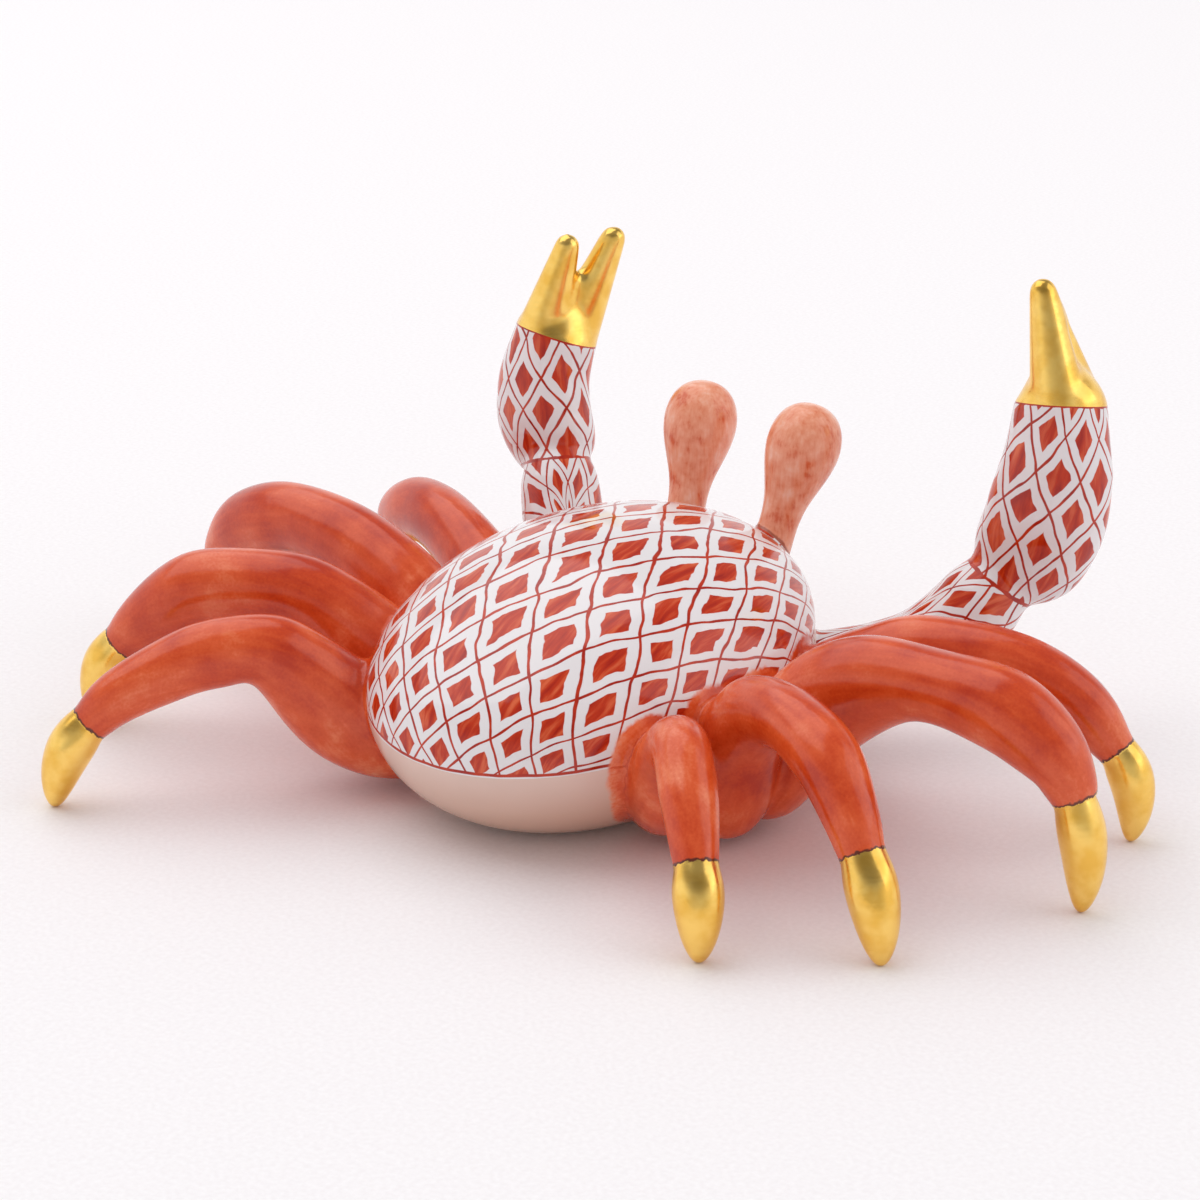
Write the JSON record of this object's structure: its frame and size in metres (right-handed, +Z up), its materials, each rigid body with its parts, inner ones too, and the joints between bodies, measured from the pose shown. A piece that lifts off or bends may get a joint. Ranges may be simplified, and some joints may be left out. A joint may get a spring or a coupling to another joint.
{
  "type": "crab figurine",
  "caption": "Small hand-painted porcelain crab ornament with raised claws, stalked eyes, arched legs and gilded tips.",
  "frame": {"origin": "middle of the belly's flat rest foot, on the table", "axes": "+X towards the crab's own left, -Y the way it faces, +Z up"},
  "size_m": [0.1153, 0.081, 0.0484],
  "materials": {
    "patterned_porcelain": "glossy white porcelain with a fine rust-red hand-painted line pattern",
    "white_porcelain": "glossy white glazed porcelain, unpainted",
    "coral_glaze": "glossy glaze over a brushed rust-coral colour",
    "pale_coral_glaze": "glossy glaze over a thin pale salmon colour",
    "fired_gold": "burnished fired gold film on porcelain"
  },
  "bodies": {
    "root": {"carapace": "patterned_porcelain", "belly": "white_porcelain", "forearm_left": "patterned_porcelain", "forearm_right": "patterned_porcelain", "palm_left": "patterned_porcelain", "palm_right": "patterned_porcelain", "leg_left_front": "coral_glaze", "leg_left_second": "coral_glaze", "leg_left_third": "coral_glaze", "leg_left_rear": "coral_glaze", "leg_right_front": "coral_glaze", "leg_right_second": "coral_glaze", "leg_right_third": "coral_glaze", "leg_right_rear": "coral_glaze", "eye_left": "pale_coral_glaze", "eye_right": "pale_coral_glaze", "tip_left_front": "fired_gold", "tip_left_second": "fired_gold", "tip_left_third": "fired_gold", "tip_left_rear": "fired_gold", "tip_right_front": "fired_gold", "tip_right_second": "fired_gold", "tip_right_third": "fired_gold", "tip_right_rear": "fired_gold", "pincer_left": "fired_gold", "pincer_right": "fired_gold"}
  },
  "joints": []
}
